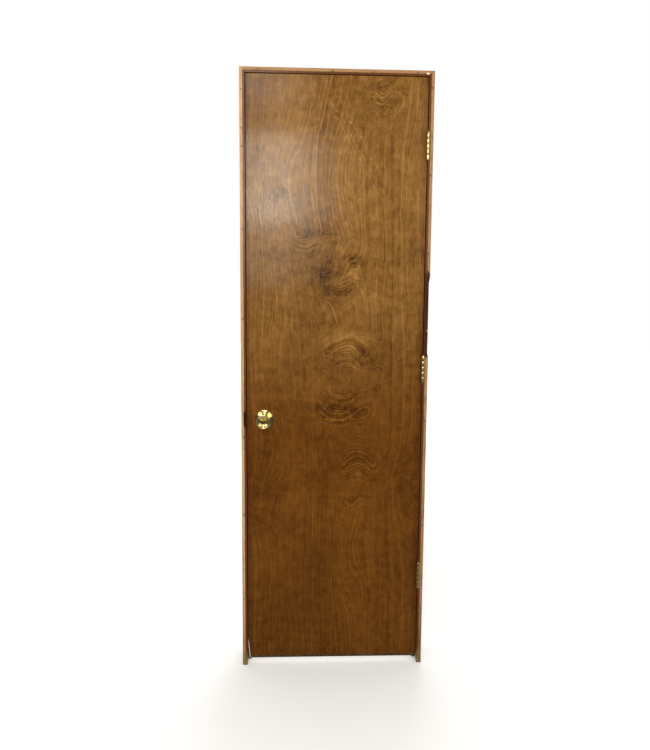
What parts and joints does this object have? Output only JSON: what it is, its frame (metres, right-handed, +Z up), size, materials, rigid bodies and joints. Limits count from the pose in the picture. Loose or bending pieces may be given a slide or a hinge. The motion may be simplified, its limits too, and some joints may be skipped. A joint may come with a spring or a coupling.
{
  "type": "interior door in its frame",
  "caption": "Tall hollow-core flush interior door with stained birch skins, hung on butt hinges in a bare wooden frame, with a round privacy knob and spring latch.",
  "frame": {"origin": "on the floor, at the middle of the doorway, in the plane of the frame's front edges, which is the face of the wall", "axes": "+X towards the hinge side, +Y into the wall, +Z up; the knob's turn button and the hinge barrels are on the -Y side"},
  "size_m": [0.6506, 0.173, 2.0795],
  "materials": {
    "birch_veneer": "stained brown, satin varnish",
    "frame_pine": "bare front edges, stained red-brown on the inner faces",
    "frame_stained": "stained dark red-brown, satin varnish",
    "slab_pine": "bare, edges stained",
    "core_card": "plain",
    "brass": "brass plated, dulled",
    "brass_screws": "brass plated",
    "polished_brass": "polished, lacquered",
    "steel": "zinc plated"
  },
  "bodies": {
    "frame": {"hinge_jamb": "frame_pine", "strike_jamb": "frame_pine", "head_jamb": "frame_pine", "hinge_stop": "frame_stained", "strike_stop": "frame_stained", "head_stop": "frame_stained", "top_frame_leaf": "brass", "middle_frame_leaf": "brass", "bottom_frame_leaf": "brass", "top_hinge_pin": "brass", "middle_hinge_pin": "brass", "bottom_hinge_pin": "brass", "hinge_tips": "brass", "frame_leaf_screws": "brass_screws", "strike_plate": "brass", "strike_screws": "brass_screws", "corner_nails": "steel", "stop_brads": "steel"},
    "door": {"front_skin": "birch_veneer", "back_skin": "birch_veneer", "hinge_stile": "slab_pine", "latch_stile": "slab_pine", "top_rail": "slab_pine", "bottom_rail": "slab_pine", "lock_block": "slab_pine", "core_lattice": "core_card", "top_door_leaf": "brass", "middle_door_leaf": "brass", "bottom_door_leaf": "brass", "door_leaf_screws": "brass_screws", "front_rose": "polished_brass", "back_rose": "polished_brass", "front_mounting_plate": "steel", "back_mounting_plate": "steel", "through_screws": "steel", "latch_case": "steel", "latch_faceplate": "brass", "faceplate_screws": "brass_screws", "latch_spring": "steel"},
    "knobs": {"front_knob": "polished_brass", "back_knob": "polished_brass", "spindle": "steel", "latch_cam": "steel"},
    "latch": {"latch_bolt": "brass"},
    "turn": {"turn_button": "polished_brass", "lock_bar": "steel"}
  },
  "joints": [
    {"name": "door_swing", "type": "hinge", "parent": "frame", "child": "door", "pos_m": [0.3063, -0.0065, 1], "axis": [0, 0, 1], "range_deg": [0, 170]},
    {"name": "knob_turn", "type": "hinge", "parent": "door", "child": "knobs", "pos_m": [-0.2445, 0, 0.904], "axis": [0, -1, 0], "range_deg": [0, 60], "stiffness_Nm_per_rad": 0.25, "springref_deg": 68.75},
    {"name": "latch_slide", "type": "slide", "parent": "door", "child": "latch", "axis": [-1, 0, 0], "range_m": [0, 0.0095], "deforming": ["latch_spring"]},
    {"name": "button_turn", "type": "hinge", "parent": "knobs", "child": "turn", "pos_m": [-0.2445, 0, 0.904], "axis": [0, -1, 0], "range_deg": [0, 90]}
  ],
  "couplings": [
    {"joint": "latch_slide", "follows": "knob_turn", "m_per_rad": 0.009071}
  ]
}
